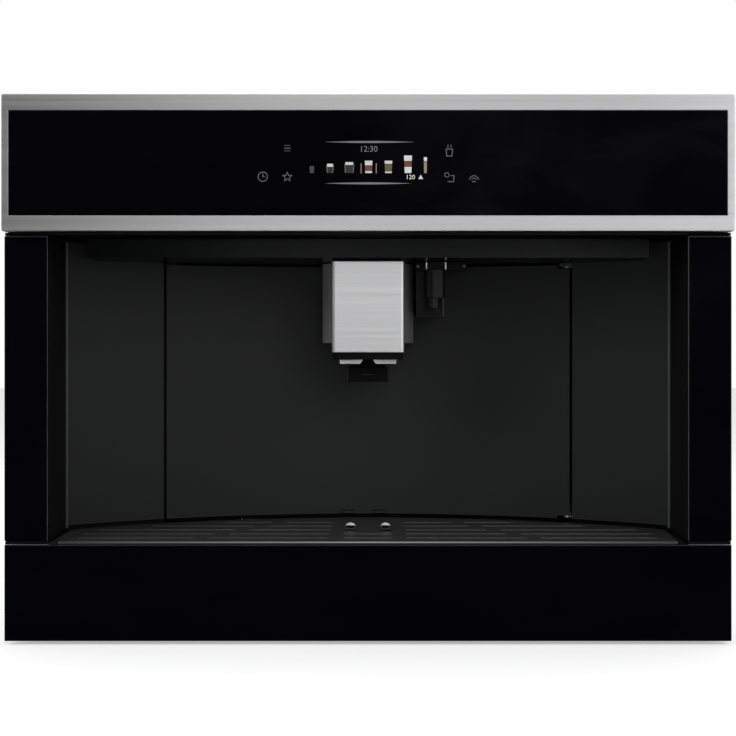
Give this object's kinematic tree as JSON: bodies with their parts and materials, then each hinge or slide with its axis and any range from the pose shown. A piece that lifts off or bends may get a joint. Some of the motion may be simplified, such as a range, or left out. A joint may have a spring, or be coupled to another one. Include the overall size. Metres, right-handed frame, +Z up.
{
  "type": "built-in coffee machine",
  "caption": "Compact built-in coffee machine with a curved cup niche behind a hinged door, a sliding spout, a drip drawer, a pull-out water tank and telescopic runners.",
  "frame": {"origin": "middle of the footprint on the shelf that the runner brackets stand on", "axes": "+X to the right as seen from the front, +Y into the cabinet, +Z up"},
  "size_m": [0.596, 0.44, 0.45],
  "materials": {
    "brushed_steel": "brushed",
    "black_glass": "gloss",
    "display_glass": "gloss",
    "niche_grey": "satin",
    "gloss_black": "gloss",
    "matte_black": "matte",
    "grey_plastic": "satin",
    "chrome": "polished",
    "zinc_sheet": "satin",
    "runner_steel": "satin",
    "tank_clear": "gloss",
    "hopper_smoke": "gloss",
    "light_lens": "satin",
    "circuit_board": "satin",
    "cast_alloy": "satin",
    "burr_steel": "satin"
  },
  "bodies": {
    "cabinet_runners": {"left_cabinet_rail": "runner_steel", "right_cabinet_rail": "runner_steel"},
    "runner_middles": {"middle_rails": "runner_steel"},
    "machine": {"machine_rails": "runner_steel", "base_pan": "zinc_sheet", "left_side_panel": "zinc_sheet", "right_side_panel": "zinc_sheet", "rear_cover": "zinc_sheet", "top_cover": "zinc_sheet", "deck": "zinc_sheet", "front_carrier": "matte_black", "panel_frame": "brushed_steel", "control_glass": "black_glass", "display_module": "display_glass", "control_board": "circuit_board", "left_trim_strip": "black_glass", "right_trim_strip": "black_glass", "left_niche_return": "matte_black", "right_niche_return": "matte_black", "left_niche_wall": "niche_grey", "right_niche_wall": "niche_grey", "niche_roof": "matte_black", "valance": "gloss_black", "niche_lights": "light_lens", "door_hinge_brackets": "runner_steel", "latch_striker": "grey_plastic", "drawer_guides": "grey_plastic", "tank_coupling": "grey_plastic", "bean_hopper": "hopper_smoke", "funnel_chute": "grey_plastic", "grinder_body": "cast_alloy", "brew_frame": "grey_plastic", "boiler": "cast_alloy", "water_pump": "zinc_sheet", "power_inlet": "matte_black"},
    "service_door": {"door_panel": "niche_grey", "door_latch": "grey_plastic", "spout_column": "niche_grey", "nozzle_plate": "gloss_black", "nozzle_bar": "gloss_black"},
    "spout": {"spout_cover": "brushed_steel", "spout_block": "matte_black", "spout_outlets": "chrome"},
    "hot_water_spout": {"hot_water_collar": "chrome", "hot_water_pipe": "gloss_black"},
    "drip_drawer": {"drawer_front": "black_glass", "drawer_chassis": "matte_black", "drip_tray": "matte_black", "grounds_bin": "matte_black"},
    "cup_grid": {"cup_grid": "gloss_black", "drain_rims": "chrome"},
    "water_tank": {"water_tank": "tank_clear", "tank_cover": "grey_plastic"},
    "tank_lid": {"tank_lid": "grey_plastic"},
    "bean_lid": {"bean_lid": "matte_black"},
    "funnel_flap": {"funnel_flap": "matte_black"},
    "grind_knob": {"grind_knob": "matte_black"},
    "grinder_burr": {"grinder_burr": "burr_steel"},
    "power_rocker": {"power_rocker": "matte_black"},
    "brew_chamber": {"brew_chamber": "grey_plastic"}
  },
  "joints": [
    {"name": "machine_slide", "type": "slide", "parent": "cabinet_runners", "child": "machine", "axis": [0, -1, 0], "range_m": [0, 0.35]},
    {"name": "middle_slide", "type": "slide", "parent": "cabinet_runners", "child": "runner_middles", "axis": [0, -1, 0], "range_m": [0, 0.175]},
    {"name": "door_hinge", "type": "hinge", "parent": "machine", "child": "service_door", "pos_m": [0.18148, -0.07495, 0.2], "axis": [0, 0, 1], "range_deg": [0, 90]},
    {"name": "spout_height", "type": "slide", "parent": "service_door", "child": "spout", "axis": [0, 0, 1], "range_m": [-0.05, 0]},
    {"name": "hot_water_pull", "type": "slide", "parent": "service_door", "child": "hot_water_spout", "axis": [0, -1, 0], "range_m": [0, 0.03]},
    {"name": "drawer_slide", "type": "slide", "parent": "machine", "child": "drip_drawer", "axis": [0, -1, 0], "range_m": [0, 0.3]},
    {"name": "grid_lift", "type": "slide", "parent": "drip_drawer", "child": "cup_grid", "axis": [0, 0, -1], "range_m": [-0.035, 0]},
    {"name": "tank_slide", "type": "slide", "parent": "machine", "child": "water_tank", "axis": [1, 0, 0], "range_m": [0, 0.13]},
    {"name": "tank_lid_hinge", "type": "hinge", "parent": "water_tank", "child": "tank_lid", "pos_m": [0.2021, 0.085, 0.319], "axis": [0, -1, 0], "range_deg": [0, 90]},
    {"name": "bean_lid_hinge", "type": "hinge", "parent": "machine", "child": "bean_lid", "pos_m": [-0.095, 0.126, 0.4405], "axis": [-1, 0, 0], "range_deg": [0, 95]},
    {"name": "funnel_flap_hinge", "type": "hinge", "parent": "machine", "child": "funnel_flap", "pos_m": [0.012, 0.05, 0.4405], "axis": [-1, 0, 0], "range_deg": [0, 95]},
    {"name": "grind_knob_turn", "type": "hinge", "parent": "machine", "child": "grind_knob", "pos_m": [0.095, 0.026, 0.44], "axis": [0, 0, 1], "range_deg": [-135, 135]},
    {"name": "burr_spin", "type": "hinge", "parent": "machine", "child": "grinder_burr", "pos_m": [-0.095, 0.045, 0.27], "axis": [0, 0, 1], "continuous": true},
    {"name": "power_rocker_tilt", "type": "hinge", "parent": "machine", "child": "power_rocker", "pos_m": [-0.15, 0.213, 0.048], "axis": [-1, 0, 0], "range_deg": [0, 10]},
    {"name": "brew_chamber_slide", "type": "slide", "parent": "machine", "child": "brew_chamber", "axis": [0, 0, 1], "range_m": [0, 0.04]}
  ],
  "couplings": [
    {"joint": "middle_slide", "follows": "machine_slide", "ratio": 0.5}
  ]
}
